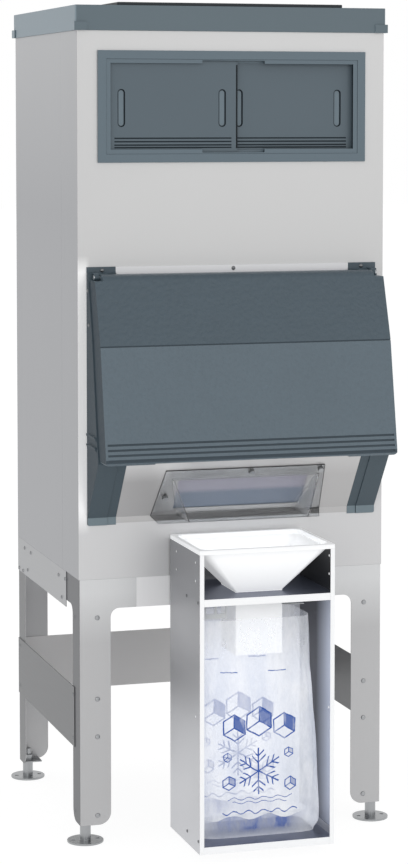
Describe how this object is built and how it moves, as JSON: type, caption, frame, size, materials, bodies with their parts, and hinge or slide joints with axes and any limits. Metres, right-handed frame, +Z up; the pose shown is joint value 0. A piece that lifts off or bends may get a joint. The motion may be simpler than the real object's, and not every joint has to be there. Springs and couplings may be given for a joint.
{
  "type": "ice storage bin",
  "caption": "Upright insulated ice storage bin on legs, with sliding window doors, a hinged hood, a clear chute and a hanging bagging cabinet with funnel and film bag.",
  "frame": {"origin": "on the floor, at the centre of the object's bounding box: midway between the feet from side to side, and midway between the bagging cabinet's front and the rear feet's back edges", "axes": "+Z up from the floor; +X to the right seen from the front; +Y from the front to the back"},
  "size_m": [0.811, 0.9315, 1.993],
  "materials": {
    "steel_front": "brushed stainless steel",
    "steel_side": "brushed stainless steel",
    "steel_stand": "brushed stainless steel",
    "steel_bagger": "brushed stainless steel",
    "steel_hardware": "plain stainless steel",
    "cover_plastic": "fine-grained blue-grey plastic",
    "hood_plastic": "coarse-grained blue-grey plastic",
    "gate_plastic": "smooth blue plastic",
    "white_plastic": "smooth white plastic",
    "liner_plastic": "smooth white plastic",
    "foam": "light rigid foam",
    "gasket_rubber": "matte rubber",
    "clear_plastic": "clear plastic",
    "bag_film": "thin clear film with a blue print"
  },
  "bodies": {
    "cabinet": {"leg_front_left": "steel_stand", "leg_front_right": "steel_stand", "leg_rear_left": "steel_stand", "leg_rear_right": "steel_stand", "front_apron": "steel_stand", "rear_apron": "steel_stand", "left_apron": "steel_stand", "right_apron": "steel_stand", "lower_left_panel": "steel_stand", "lower_right_panel": "steel_stand", "lower_rear_panel": "steel_stand", "foot_sockets": "steel_hardware", "stand_rivets": "steel_hardware", "base_pan": "steel_side", "front_panel": "steel_front", "left_side_panel": "steel_side", "right_side_panel": "steel_side", "back_panel": "steel_side", "foam_insulation": "foam", "liner": "liner_plastic", "top_cover": "cover_plastic", "top_curb": "cover_plastic", "cover_clips": "hood_plastic", "drain_pipe": "white_plastic", "drain_nut": "white_plastic", "window_frame": "cover_plastic", "cheek_left": "hood_plastic", "cheek_right": "hood_plastic", "sill": "steel_front", "top_strip": "steel_front", "hinge_brackets": "hood_plastic", "hinge_pins": "steel_hardware", "hood_screws": "steel_hardware", "gate_tracks": "white_plastic", "chute_rails": "white_plastic", "spout": "clear_plastic", "hanger_rail": "steel_bagger"},
    "window_left": {"window_door_left": "cover_plastic"},
    "window_right": {"window_door_right": "cover_plastic"},
    "hood_door": {"main_door": "hood_plastic", "door_back": "hood_plastic", "door_gasket": "gasket_rubber"},
    "upright_gate": {"ice_gate": "gate_plastic"},
    "slanted_gate": {"chute_gate": "gate_plastic"},
    "screw_left": {"thumb_screw_left": "steel_hardware"},
    "screw_top": {"thumb_screw_top": "steel_hardware"},
    "screw_right": {"thumb_screw_right": "steel_hardware"},
    "foot_fl": {"foot_front_left": "steel_hardware"},
    "foot_fr": {"foot_front_right": "steel_hardware"},
    "foot_rl": {"foot_rear_left": "steel_hardware"},
    "foot_rr": {"foot_rear_right": "steel_hardware"},
    "bagger": {"bagger_wall_left": "steel_bagger", "bagger_wall_right": "steel_bagger", "bagger_back": "steel_bagger", "bagger_floor": "steel_bagger", "bagger_shelf": "steel_bagger", "bag_hangers": "steel_bagger", "bagger_rivets": "steel_hardware", "film_bag": "bag_film"},
    "funnel_body": {"funnel": "white_plastic"}
  },
  "joints": [
    {"name": "window_left_slide", "type": "slide", "parent": "cabinet", "child": "window_left", "axis": [1, 0, 0], "range_m": [0, 0.29]},
    {"name": "window_right_slide", "type": "slide", "parent": "cabinet", "child": "window_right", "axis": [-1, 0, 0], "range_m": [0, 0.29]},
    {"name": "hood_hinge", "type": "hinge", "parent": "cabinet", "child": "hood_door", "pos_m": [0, -0.24375, 1.35], "axis": [-1, 0, 0], "range_deg": [0, 100]},
    {"name": "upright_gate_lift", "type": "slide", "parent": "cabinet", "child": "upright_gate", "axis": [0, 0, 1], "range_m": [0, 0.12]},
    {"name": "slanted_gate_lift", "type": "slide", "parent": "cabinet", "child": "slanted_gate", "axis": [0, -0.5878, 0.809], "range_m": [0, 0.046]},
    {"name": "screw_left_turn", "type": "hinge", "parent": "cabinet", "child": "screw_left", "pos_m": [-0.181, -0.25169, 0.83016], "axis": [0, -0.809, -0.5878], "continuous": true},
    {"name": "screw_top_turn", "type": "hinge", "parent": "cabinet", "child": "screw_top", "pos_m": [0.02, -0.29548, 0.89043], "axis": [0, -0.809, -0.5878], "continuous": true},
    {"name": "screw_right_turn", "type": "hinge", "parent": "cabinet", "child": "screw_right", "pos_m": [0.193, -0.29548, 0.89043], "axis": [0, -0.809, -0.5878], "continuous": true},
    {"name": "foot_fl_turn", "type": "hinge", "parent": "cabinet", "child": "foot_fl", "pos_m": [-0.362, -0.19475, 0.05], "axis": [0, 0, 1], "continuous": true},
    {"name": "foot_fr_turn", "type": "hinge", "parent": "cabinet", "child": "foot_fr", "pos_m": [0.362, -0.19475, 0.05], "axis": [0, 0, 1], "continuous": true},
    {"name": "foot_rl_turn", "type": "hinge", "parent": "cabinet", "child": "foot_rl", "pos_m": [-0.362, 0.42225, 0.05], "axis": [0, 0, 1], "continuous": true},
    {"name": "foot_rr_turn", "type": "hinge", "parent": "cabinet", "child": "foot_rr", "pos_m": [0.362, 0.42225, 0.05], "axis": [0, 0, 1], "continuous": true},
    {"name": "bagger_lift", "type": "slide", "parent": "cabinet", "child": "bagger", "axis": [0, 0, 1], "range_m": [0, 0.02]},
    {"name": "funnel_lift", "type": "slide", "parent": "bagger", "child": "funnel_body", "axis": [0, 0, 1], "range_m": [0, 0.015]}
  ]
}
